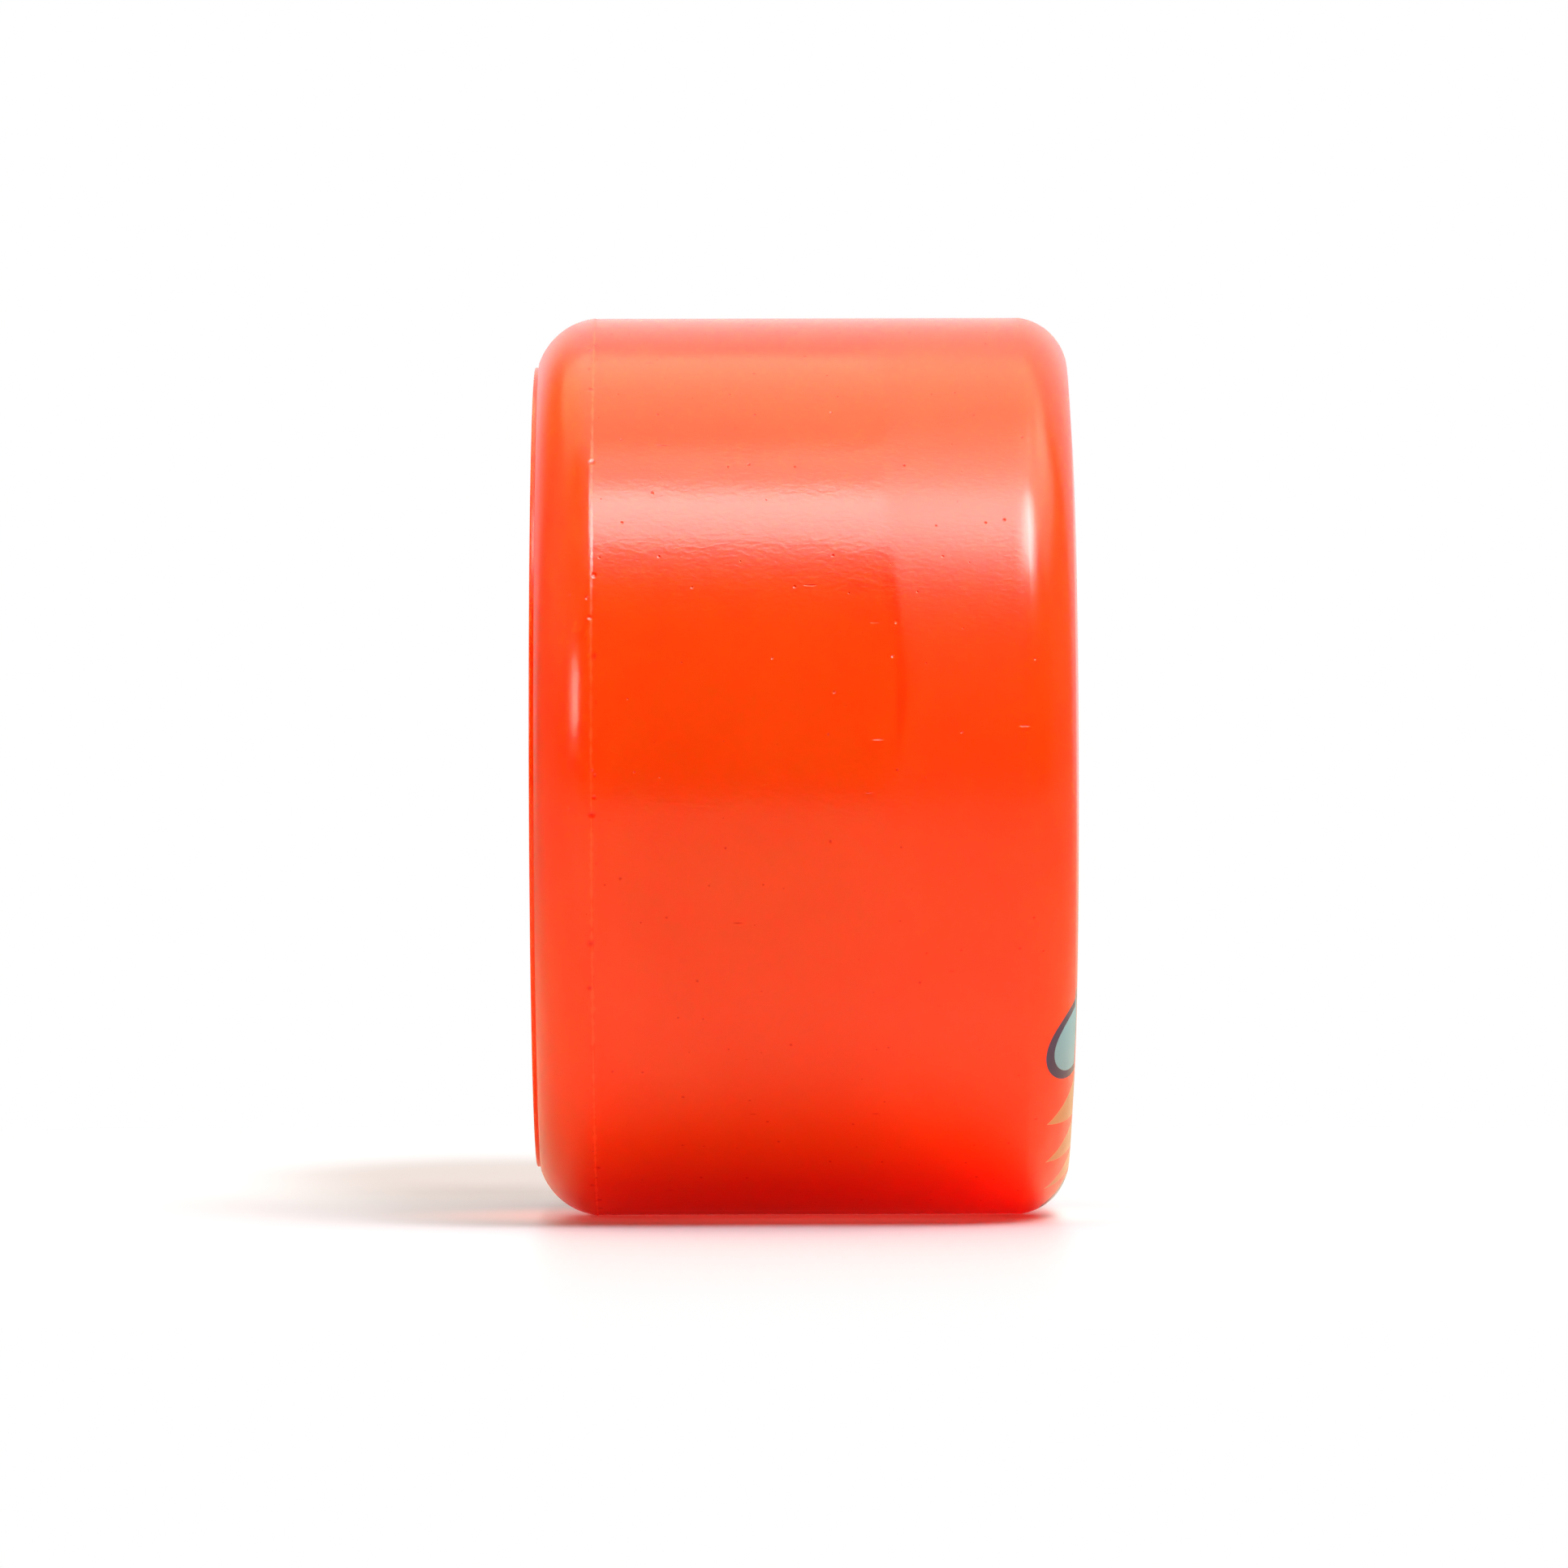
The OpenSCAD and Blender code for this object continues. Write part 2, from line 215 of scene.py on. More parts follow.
# cast polyurethane: saturated, a little translucent,
# satin where it was ground and duller past the lap line (mm)
urethaneLook = {
    "body": "#D04008", "deep": "#CB3805", "cloud": 14.0, "cloudFrom": (0.35, 0.75), "cloudMost": 0.6,
    "castRoughness": 0.22, "groundRoughness": 0.155, "dullRoughness": 0.262,
    # where the tread starts, where grinding starts (from the axle) and where the front lip starts (along it)
    "treadFade": (34.3, 34.7), "groundFade": (34.6, 34.8), "lipFade": (16.4, 16.7),
    # marks: mm apart, mm across, and the luck below which a place stays clean; the holes are painted darker
    # inside, a painted shade
    "pits": {"apart": 2.8, "size": 0.18, "luck": 0.45},
    "gouges": {"apart": 7.0, "size": 0.6, "luck": 0.94},
    "nicks": {"apart": 1.7, "size": 0.45, "luck": 0.25},
    "paintedHoleShade": "#B42402", "markDepth": 0.05, "gougeThin": 7.0,
    # trim line: where nicks lie, and a ragged pale scuff, mm
    "trimMid": 0.06, "nickFade": (0.3, 0.5),
    "scuff": "#F26030", "scuffGrain": 0.7, "scuffWide": 0.7, "scuffLess": 0.22, "scuffLeast": 0.02,
    "scuffMost": 0.45, "scuffRough": 0.25,
    # lap line and the rubbed streak beside it: mm along the axle, degrees round
    "lapY": 6.0, "lapWander": 1.4, "lapWave": 22.0, "lapMid": 30.0, "lapSpan": (30.0, 56.0),
    "lapFray": 5.0, "lapSoft": 0.9, "streakLong": 20.0, "streakWide": 10 / 9,
    "rub": "#C73504", "rubAt": 0.5, "rubWide": (0.15, 0.75),
    "rubMid": 15, "rubSpan": (9, 16), "rubBreak": (0.25, 0.5),
    # relief, mm
    "rippleLong": 0.7, "rippleTall": 0.32, "rippleDepth": 0.014, "peel": 2.6, "peelDepth": 0.012,
    # pad print: degrees round, mm across
    "turquoise": "#6DB8CE", "navy": "#37345C", "ochre": "#B0935C",
    "printTurn": -62.0, "printRadius": 33.0, "printFrom": 10.0,
    "discTurn": 22.0, "discSize": 3.6, "discMid": 5.6, "outline": 0.75,
    "lozengeTurn": 9.4, "lozengeReach": 14.2, "lozengeWide": 2.3, "lozengeTall": 3.4,
    "line": 0.3, "lineAt": 9.6,
}


def makeUrethane(look, shape, lines):
    material, tree, shader, place = newMaterial("castPolyurethane", {
        "IOR": 1.5, "Specular IOR Level": 0.38, "Subsurface Radius": (1.0, 0.03, 0.012),
        "Subsurface Scale": 0.1})
    axes = addNode(tree, "SeparateXYZ", {}, {0: place}).outputs
    flat = addNode(tree, "VectorMath", {"operation": "MULTIPLY", 1: (1, 0, 1)}, {0: place}).outputs[0]
    radius = addNode(tree, "VectorMath", {"operation": "LENGTH"}, {0: flat}).outputs["Value"]
    angle = addNode(tree, "Math", {"operation": "ARCTAN2"}, {0: axes["Z"], 1: axes["X"]}).outputs[0]

    # casting: broad clouds of a slightly deeper tone
    cloud = addNode(tree, "TexNoise", {"Scale": 1 / (look["cloud"] * mm), "Detail": 3.0},
                    {0: place}).outputs["Fac"]
    cloudAmount = addNode(tree, "MapRange", {
        "From Min": look["cloudFrom"][0], "From Max": look["cloudFrom"][1], "To Max": look["cloudMost"]},
        {"Value": cloud}).outputs[0]
    colour = addNode(tree, "Mix", {"data_type": "RGBA", 6: tint(look["body"]), 7: tint(look["deep"])},
                     {0: cloudAmount}).outputs[2]

    # marks on the unrolled tread: air pits, short gouges, nicks in the trim line, a pale scuff along it
    arc = addNode(tree, "Math", {"operation": "MULTIPLY", 1: shape["treadRadius"] * mm},
                  {0: angle}).outputs[0]
    skin = addNode(tree, "CombineXYZ", {}, {0: arc, 1: axes["Y"]}).outputs[0]
    tread = addNode(tree, "MapRange",
                    {"From Min": look["treadFade"][0] * mm, "From Max": look["treadFade"][1] * mm},
                    {"Value": radius}).outputs[0]
    fromTrim = addNode(tree, "Math", {"operation": "SUBTRACT", 1: (lines["trimY"] + look["trimMid"]) * mm},
                       {0: axes["Y"]}).outputs[0]
    fromTrimSize = addNode(tree, "Math", {"operation": "ABSOLUTE"}, {0: fromTrim}).outputs[0]
    nearTrim = addNode(tree, "MapRange", {
        "From Min": look["nickFade"][0] * mm, "From Max": look["nickFade"][1] * mm,
        "To Min": 1.0, "To Max": 0.0}, {"Value": fromTrimSize}).outputs[0]
    onTrim = addNode(tree, "Math", {"operation": "MULTIPLY"}, {0: nearTrim, 1: tread}).outputs[0]
    thin = addNode(tree, "VectorMath", {"operation": "MULTIPLY", 1: (look["gougeThin"], 1, 1)},
                   {0: skin}).outputs[0]
    marks = []
    for where, kind, only in ((skin, "pits", tread), (thin, "gouges", tread), (skin, "nicks", onTrim)):
        mark = look[kind]
        cells = addNode(tree, "TexVoronoi", {"voronoi_dimensions": "2D", "Scale": 1 / (mark["apart"] * mm)},
                        {0: where}).outputs
        luck = addNode(tree, "SeparateColor", {}, {0: cells["Color"]}).outputs
        reach = addNode(tree, "MapRange", {
            "From Min": mark["luck"], "To Min": 0.0, "To Max": mark["size"] / mark["apart"]},
            {"Value": luck[0]}).outputs[0]
        sunk = addNode(tree, "MapRange", {
            "interpolation_type": "SMOOTHSTEP", "From Min": 0.0, "To Min": 1.0, "To Max": 0.0},
            {"Value": cells["Distance"], "From Max": reach}).outputs[0]
        marks.append(addNode(tree, "Math", {"operation": "MULTIPLY"}, {0: sunk, 1: only}).outputs[0])
    pitted = addNode(tree, "Math", {"operation": "MAXIMUM"}, {0: marks[0], 1: marks[1]}).outputs[0]
    holes = addNode(tree, "Math", {"operation": "MAXIMUM"}, {0: pitted, 1: marks[2]}).outputs[0]
    ragged = addNode(tree, "TexNoise", {"Scale": 1 / (look["scuffGrain"] * mm), "Detail": 3.0},
                     {0: place}).outputs["Fac"]
    scuffReach = addNode(tree, "Math", {
        "operation": "MULTIPLY_ADD", 1: look["scuffWide"] * mm, 2: -look["scuffLess"] * mm},
        {0: ragged}).outputs[0]
    scuffHeld = addNode(tree, "Math", {"operation": "MAXIMUM", 1: look["scuffLeast"] * mm},
                        {0: scuffReach}).outputs[0]
    scuffAll = addNode(tree, "MapRange", {
        "interpolation_type": "SMOOTHSTEP", "From Min": 0.0, "To Min": look["scuffMost"], "To Max": 0.0},
        {"Value": fromTrimSize, "From Max": scuffHeld}).outputs[0]
    scuffed = addNode(tree, "Math", {"operation": "MULTIPLY"}, {0: scuffAll, 1: tread}).outputs[0]
    # the holes are painted darker inside: painted shade
    for mask, tone in ((scuffed, "scuff"), (holes, "paintedHoleShade")):
        colour = addNode(tree, "Mix", {"data_type": "RGBA", 7: tint(look[tone])},
                         {0: mask, 6: colour}).outputs[2]

    # a rubbed streak that follows the turning, beside the lap line
    wander = addNode(tree, "TexNoise", {"Scale": 1 / (look["lapWave"] * mm), "Detail": 2.0},
                     {0: flat}).outputs["Fac"]
    lapAt = addNode(tree, "MapRange", {
        "To Min": (look["lapY"] - look["lapWander"]) * mm, "To Max": (look["lapY"] + look["lapWander"]) * mm},
        {"Value": wander}).outputs[0]
    past = addNode(tree, "Math", {"operation": "SUBTRACT"}, {0: axes["Y"], 1: lapAt}).outputs[0]
    lapTurn = addNode(tree, "Math", {"operation": "SUBTRACT", 1: math.radians(look["lapMid"])},
                      {0: angle}).outputs[0]
    lapTurnSize = addNode(tree, "Math", {"operation": "ABSOLUTE"}, {0: lapTurn}).outputs[0]
    lapShown = addNode(tree, "MapRange", {
        "interpolation_type": "SMOOTHSTEP", "To Min": 1.0, "To Max": 0.0,
        "From Min": math.radians(look["lapSpan"][0]), "From Max": math.radians(look["lapSpan"][1])},
        {"Value": lapTurnSize}).outputs[0]
    streakLong, streakWide = 1 / (look["streakLong"] * mm), 1 / (look["streakWide"] * mm)
    stretch = addNode(tree, "VectorMath", {"operation": "MULTIPLY", 1: (streakLong, streakWide, streakLong)},
                      {0: place}).outputs[0]
    streak = addNode(tree, "TexNoise", {"Scale": 1.0, "Detail": 3.0}, {0: stretch}).outputs["Fac"]
    rubOff = addNode(tree, "Math", {"operation": "SUBTRACT", 1: look["rubAt"] * mm}, {0: past}).outputs[0]
    rubAway = addNode(tree, "Math", {"operation": "ABSOLUTE"}, {0: rubOff}).outputs[0]
    byLap = addNode(tree, "MapRange", {
        "interpolation_type": "SMOOTHSTEP", "To Min": 1.0, "To Max": 0.0,
        "From Min": look["rubWide"][0] * mm, "From Max": look["rubWide"][1] * mm},
        {"Value": rubAway}).outputs[0]
    rubIn = addNode(tree, "MapRange", {
        "interpolation_type": "SMOOTHSTEP", "From Min": look["rubBreak"][0], "From Max": look["rubBreak"][1]},
        {"Value": streak}).outputs[0]
    rubbed = addNode(tree, "Math", {"operation": "MULTIPLY"}, {0: rubIn, 1: byLap}).outputs[0]
    rubTurn = addNode(tree, "Math", {"operation": "SUBTRACT", 1: math.radians(look["rubMid"])},
                      {0: angle}).outputs[0]
    rubTurnSize = addNode(tree, "Math", {"operation": "ABSOLUTE"}, {0: rubTurn}).outputs[0]
    rubShown = addNode(tree, "MapRange", {
        "interpolation_type": "SMOOTHSTEP", "To Min": 1.0, "To Max": 0.0,
        "From Min": math.radians(look["rubSpan"][0]), "From Max": math.radians(look["rubSpan"][1])},
        {"Value": rubTurnSize}).outputs[0]
    rubHere = addNode(tree, "Math", {"operation": "MULTIPLY"}, {0: rubbed, 1: rubShown}).outputs[0]
    rubOnTread = addNode(tree, "Math", {"operation": "MULTIPLY"}, {0: rubHere, 1: tread}).outputs[0]
    colour = addNode(tree, "Mix", {"data_type": "RGBA", 7: tint(look["rub"])},
                     {0: rubOnTread, 6: colour}).outputs[2]

    # pad print on the front lip and face: across is the way over the lip in metres, along the way round
    lipUp = addNode(tree, "Math", {"operation": "SUBTRACT", 1: lines["frontMid"][1] * mm},
                    {0: axes["Y"]}).outputs[0]
    lipOut = addNode(tree, "Math", {"operation": "SUBTRACT", 1: lines["frontMid"][0] * mm},
                     {0: radius}).outputs[0]
    lipTurn = addNode(tree, "Math", {"operation": "ARCTAN2"}, {0: lipUp, 1: lipOut}).outputs[0]
    lipHeld = addNode(tree, "Math", {"operation": "MINIMUM", 1: math.radians(shape["frontLipEnd"])},
                      {0: lipTurn}).outputs[0]
    bandIn = addNode(tree, "Math", {"operation": "SUBTRACT", 0: lines["frontFaceR"] * mm},
                     {1: radius}).outputs[0]
    bandHeld = addNode(tree, "Math", {"operation": "MAXIMUM", 1: 0.0}, {0: bandIn}).outputs[0]
    across = addNode(tree, "Math", {"operation": "MULTIPLY_ADD", 1: shape["frontLipRadius"] * mm},
                     {0: lipHeld, 2: bandHeld}).outputs[0]
    turned = addNode(tree, "Math", {"operation": "SUBTRACT", 1: math.radians(look["printTurn"])},
                     {0: angle}).outputs[0]
    # the print is mirrored every quarter turn
    mirrored = addNode(tree, "Math", {"operation": "PINGPONG", 1: math.pi / 2}, {0: turned}).outputs[0]
    along = addNode(tree, "Math", {"operation": "MULTIPLY", 1: look["printRadius"] * mm},
                    {0: mirrored}).outputs[0]
    onFront = addNode(tree, "Math", {"operation": "GREATER_THAN", 1: look["printFrom"] * mm},
                      {0: axes["Y"]}).outputs[0]

    lineOff = addNode(tree, "Math", {"operation": "COMPARE", 1: look["lineAt"] * mm, 2: look["line"] * mm},
                      {0: across}).outputs[0]
    lozengeStep = math.radians(look["lozengeTurn"] / 2) * look["printRadius"] * mm
    step = addNode(tree, "Math", {"operation": "PINGPONG", 1: lozengeStep}, {0: along}).outputs[0]
    wide = addNode(tree, "Math", {"operation": "DIVIDE", 1: look["lozengeWide"] * mm}, {0: step}).outputs[0]
    tallOff = addNode(tree, "Math", {"operation": "SUBTRACT", 1: look["discMid"] * mm},
                      {0: across}).outputs[0]
    tallSize = addNode(tree, "Math", {"operation": "ABSOLUTE"}, {0: tallOff}).outputs[0]
    lozengeSum = addNode(tree, "Math", {"operation": "MULTIPLY_ADD", 1: 1 / (look["lozengeTall"] * mm)},
                         {0: tallSize, 2: wide}).outputs[0]
    lozengeIn = addNode(tree, "Math", {"operation": "LESS_THAN", 1: 1.0}, {0: lozengeSum}).outputs[0]
    lozengeNear = addNode(tree, "Math", {"operation": "LESS_THAN", 1: math.radians(look["lozengeReach"])},
                          {0: mirrored}).outputs[0]
    lozenge = addNode(tree, "Math", {"operation": "MULTIPLY"}, {0: lozengeIn, 1: lozengeNear}).outputs[0]
    discOff = addNode(tree, "Math", {"operation": "SUBTRACT", 1: math.radians(look["discTurn"])},
                      {0: mirrored}).outputs[0]
    discAlong = addNode(tree, "Math", {"operation": "MULTIPLY"}, {0: discOff, 1: radius}).outputs[0]
    chart = addNode(tree, "CombineXYZ", {}, {0: discAlong, 1: tallOff}).outputs[0]
    discAway = addNode(tree, "VectorMath", {"operation": "LENGTH"}, {0: chart}).outputs["Value"]
    disc = addNode(tree, "Math", {"operation": "LESS_THAN", 1: look["discSize"] * mm},
                   {0: discAway}).outputs[0]
    discFill = addNode(tree, "Math", {"operation": "LESS_THAN", 1: (look["discSize"] - look["outline"]) * mm},
                       {0: discAway}).outputs[0]
    ochreInk = addNode(tree, "Math", {"operation": "MAXIMUM"}, {0: lineOff, 1: lozenge}).outputs[0]
    ochreFront = addNode(tree, "Math", {"operation": "MULTIPLY"}, {0: ochreInk, 1: onFront}).outputs[0]
    discFront = addNode(tree, "Math", {"operation": "MULTIPLY"}, {0: disc, 1: onFront}).outputs[0]
    fillFront = addNode(tree, "Math", {"operation": "MULTIPLY"}, {0: discFill, 1: onFront}).outputs[0]
    inked = addNode(tree, "Math", {"operation": "MAXIMUM"}, {0: ochreFront, 1: discFront}).outputs[0]
    for mask, ink in ((ochreFront, "ochre"), (discFront, "navy"), (fillFront, "turquoise")):
        colour = addNode(tree, "Mix", {"data_type": "RGBA", 7: tint(look[ink])},
                         {0: mask, 6: colour}).outputs[2]
    tree.links.new(colour, shader.inputs["Base Color"])
    through = addNode(tree, "MapRange", {"To Min": 1.0, "To Max": 0.0}, {"Value": inked}).outputs[0]
    tree.links.new(through, shader.inputs["Subsurface Weight"])  # ink hides the depth

    # sheen: as cast on the lips and faces, satin where ground, duller past the lap line
    streaky = addNode(tree, "Math", {
        "operation": "MULTIPLY_ADD", 1: look["lapFray"] * mm, 2: -look["lapFray"] / 2 * mm},
        {0: streak}).outputs[0]
    lapped = addNode(tree, "Math", {"operation": "ADD"}, {0: past, 1: streaky}).outputs[0]
    dull = addNode(tree, "MapRange", {
        "interpolation_type": "SMOOTHSTEP",
        "From Min": -look["lapSoft"] * mm, "From Max": look["lapSoft"] * mm}, {"Value": lapped}).outputs[0]
    dullHere = addNode(tree, "Math", {"operation": "MULTIPLY"}, {0: dull, 1: lapShown}).outputs[0]
    # rubbing has polished the streak
    dullLeft = addNode(tree, "Math", {"operation": "SUBTRACT"}, {0: dullHere, 1: rubHere}).outputs[0]
    ground = addNode(tree, "MapRange", {"To Min": look["groundRoughness"], "To Max": look["dullRoughness"]},
                     {"Value": dullLeft}).outputs[0]
    onLip = addNode(tree, "MapRange",
                    {"From Min": look["lipFade"][0] * mm, "From Max": look["lipFade"][1] * mm},
                    {"Value": axes["Y"]}).outputs[0]
    inside = addNode(tree, "MapRange", {
        "From Min": look["groundFade"][0] * mm, "From Max": look["groundFade"][1] * mm,
        "To Min": 1.0, "To Max": 0.0}, {"Value": radius}).outputs[0]
    cast = addNode(tree, "Math", {"operation": "MAXIMUM"}, {0: onLip, 1: inside}).outputs[0]
    roughness = addNode(tree, "Mix", {"data_type": "FLOAT", 3: look["castRoughness"]},
                        {0: cast, 2: ground}).outputs[0]
    roughness = addNode(tree, "Math", {"operation": "MULTIPLY_ADD", 1: look["scuffRough"]},
                        {0: scuffed, 2: roughness}).outputs[0]
    tree.links.new(roughness, shader.inputs["Roughness"])

    # relief: grinding ripple (drawn coarser than real), orange peel, holes
    rippleTall, rippleLong = 1 / (look["rippleTall"] * mm), 1 / (look["rippleLong"] * mm)
    rippleWay = addNode(tree, "VectorMath",
                        {"operation": "MULTIPLY", 1: (rippleTall, rippleLong, rippleTall)},
                        {0: place}).outputs[0]
    ripple = addNode(tree, "TexNoise", {"Scale": 1.0, "Detail": 2.0, "Distortion": 0.4},
                     {0: rippleWay}).outputs["Fac"]
    # level where cast
    groundRipple = addNode(tree, "Mix", {"data_type": "FLOAT", 3: 0.5}, {0: cast, 2: ripple}).outputs[0]
    peel = addNode(tree, "TexNoise", {"Scale": 1 / (look["peel"] * mm), "Detail": 1.0},
                   {0: place}).outputs["Fac"]
    bump = addNode(tree, "Bump", {"Strength": 1.0, "Distance": look["rippleDepth"] * mm},
                   {"Height": groundRipple}).outputs[0]
    bump = addNode(tree, "Bump", {"Strength": 1.0, "Distance": look["peelDepth"] * mm},
                   {"Height": peel, "Normal": bump}).outputs[0]
    bump = addNode(tree, "Bump", {"Strength": 1.0, "Distance": look["markDepth"] * mm, "invert": True},
                   {"Height": holes, "Normal": bump}).outputs[0]
    tree.links.new(bump, shader.inputs["Normal"])
    return material


tyre.data.materials.append(makeUrethane(urethaneLook, tyreShape, tyreLines))
print("urethane made")


# moulded nylon of the core: ivory, softly translucent, fine spark texture from the mould,
# grey rub where steel was pressed in (mm)
nylonLook = {
    "ivory": "#F1EFE8", "shade": "#E4DFD3", "flow": 9.0, "flowFrom": (0.42, 0.75), "flowMost": 0.7,
    "rub": "#B5B3AC", "seatRadius": 11.0,
    "rubWidth": 0.55, "rubGrain": 1.3, "rubRagged": 1.2, "rubMost": 0.75,
    "spark": 0.3, "sparkFrom": (0.3, 0.7), "sparkDepth": 0.03, "roughness": (0.34, 0.52),
}


def makeNylon(look):
    material, tree, shader, place = newMaterial("mouldedNylon", {
        "IOR": 1.53, "Subsurface Weight": 0.25, "Subsurface Radius": (1.0, 0.8, 0.5),
        "Subsurface Scale": 0.0012})
    flat = addNode(tree, "VectorMath", {"operation": "MULTIPLY", 1: (1, 0, 1)}, {0: place}).outputs[0]
    radius = addNode(tree, "VectorMath", {"operation": "LENGTH"}, {0: flat}).outputs["Value"]
    flow = addNode(tree, "TexNoise", {"Scale": 1 / (look["flow"] * mm), "Detail": 4.0, "Distortion": 0.8},
                   {0: place}).outputs["Fac"]
    flowAmount = addNode(tree, "MapRange", {
        "From Min": look["flowFrom"][0], "From Max": look["flowFrom"][1], "To Max": look["flowMost"]},
        {"Value": flow}).outputs[0]
    colour = addNode(tree, "Mix", {"data_type": "RGBA", 6: tint(look["ivory"]), 7: tint(look["shade"])},
                     {0: flowAmount}).outputs[2]
    scuff = addNode(tree, "TexNoise", {"Scale": 1 / (look["rubGrain"] * mm), "Detail": 3.0},
                    {0: place}).outputs["Fac"]
    rubStart = look["seatRadius"] + look["rubWidth"] - look["rubRagged"] / 2
    rubEdge = addNode(tree, "Math",
                      {"operation": "MULTIPLY_ADD", 1: look["rubRagged"] * mm, 2: rubStart * mm},
                      {0: scuff}).outputs[0]
    rub = addNode(tree, "MapRange", {
        "interpolation_type": "SMOOTHSTEP", "From Max": look["seatRadius"] * mm,
        "To Min": 0.0, "To Max": look["rubMost"]}, {"Value": radius, "From Min": rubEdge}).outputs[0]
    colour = addNode(tree, "Mix", {"data_type": "RGBA", 7: tint(look["rub"])}, {0: rub, 6: colour}).outputs[2]
    tree.links.new(colour, shader.inputs["Base Color"])
    spark = addNode(tree, "TexNoise", {"Scale": 1 / (look["spark"] * mm), "Detail": 3.0, "Roughness": 0.6},
                    {0: place}).outputs["Fac"]
    roughness = addNode(tree, "MapRange", {
        "From Min": look["sparkFrom"][0], "From Max": look["sparkFrom"][1],
        "To Min": look["roughness"][0], "To Max": look["roughness"][1]}, {"Value": spark}).outputs[0]
    tree.links.new(roughness, shader.inputs["Roughness"])
    bump = addNode(tree, "Bump", {"Strength": 1.0, "Distance": look["sparkDepth"] * mm},
                   {"Height": spark}).outputs[0]
    tree.links.new(bump, shader.inputs["Normal"])
    return material


# metals of the bearings and the spacer: lines follow the turning (drawn coarser than real),
# patches are oil and handling (mm)
metalLooks = {
    "groundBearingSteel": {  # bright, with fine rings from the wheel that ground it
        "colour": "#D2D3D4", "stain": "#BDBEBF", "roughness": (0.2, 0.34),
        "lines": 0.34, "lineDepth": 0.003, "way": "RINGS", "patch": 3.0,
        "nodes": ("front_outer_race", "front_inner_race", "back_outer_race", "back_inner_race")},
    "pressedShieldSteel": {  # plain sheet, greyer and softer
        "colour": "#C9CACB", "stain": "#B0B1B2", "roughness": (0.3, 0.46),
        "lines": 0.5, "lineDepth": 0.003, "way": "RINGS", "patch": 2.6,
        "nodes": ("front_inboard_shield", "back_inboard_shield")},
    "springSteelWire": {  # drawn wire, dark grey and smooth
        "colour": "#A9ABAD", "stain": "#88898B", "roughness": (0.2, 0.36),
        "lines": 0.1, "lineDepth": 0.003, "way": "RINGS", "patch": 1.6,
        "nodes": ("front_outboard_snap_ring", "front_inboard_snap_ring",
                  "back_outboard_snap_ring", "back_inboard_snap_ring")},
    "lappedChromeSteel": {  # balls, nearly mirrors
        "colour": "#DBDDDF", "stain": "#C6C4BC", "roughness": (0.05, 0.13),
        "lines": 0.5, "lineDepth": 0.0002, "way": "RINGS", "patch": 1.4,
        "nodes": ("front_balls", "back_balls")},
    "turnedAluminium": {  # pale tube with lathe lines along it
        "colour": "#D3D6D8", "stain": "#B7B9BA", "roughness": (0.24, 0.36),
        "lines": 0.25, "lineDepth": 0.006, "way": "BANDS", "patch": 2.6,
        "nodes": ("bearing_spacer",)},
}
patchFrom, patchMost = (0.4, 0.75), 0.8  # where stain starts and is full, and the most of it
lineWear = 0.35  # how much the lines add to the wear


def makeMetal(name, look):
    material, tree, shader, place = newMaterial(name, {"Metallic": 1.0})
    patch = addNode(tree, "TexNoise", {"Scale": 1 / (look["patch"] * mm), "Detail": 4.0, "Distortion": 0.5},
                    {0: place}).outputs["Fac"]
    amount = addNode(tree, "MapRange",
                     {"From Min": patchFrom[0], "From Max": patchFrom[1], "To Max": patchMost},
                     {"Value": patch}).outputs[0]
    # a wave repeats every pi / 10 at scale 1
    lines = addNode(tree, "TexWave", {
        "wave_type": look["way"], "rings_direction" if look["way"] == "RINGS" else "bands_direction": "Y",
        "Scale": math.pi / 10 / (look["lines"] * mm), "Distortion": 0.9, "Detail": 2.0, "Detail Scale": 0.12},
        {0: place}).outputs["Fac"]
    colour = addNode(tree, "Mix", {"data_type": "RGBA", 6: tint(look["colour"]), 7: tint(look["stain"])},
                     {0: amount}).outputs[2]
    tree.links.new(colour, shader.inputs["Base Color"])
    worn = addNode(tree, "Math", {"operation": "MULTIPLY_ADD", 1: lineWear}, {0: lines, 2: amount}).outputs[0]
    roughness = addNode(tree, "MapRange", {"To Min": look["roughness"][0], "To Max": look["roughness"][1]},
                        {"Value": worn}).outputs[0]
    tree.links.new(roughness, shader.inputs["Roughness"])
    bump = addNode(tree, "Bump", {"Strength": 1.0, "Distance": look["lineDepth"] * mm},
                   {"Height": lines}).outputs[0]
    tree.links.new(bump, shader.inputs["Normal"])
    return material


# outer shields of the bearings: pressed discs whose inner edge curls in along the inner race
# (mm, faces measured from the bearing's middle)
shieldShape = {
    "outerRadius": 9.705, "stepRadius": 8.725, "innerRadius": 6.1,
    "edgeFace": 2.86, "rise": 0.24, "sheet": 0.3,
    "curl": 0.62, "curlRound": 0.24, "curlCuts": 5, "stepRound": 0.12, "stepCuts": 3, "turnCuts": 160,
    "places": {"front": (5.5, 1), "back": (-11.5, -1)},  # middle of the bearing, way out
}


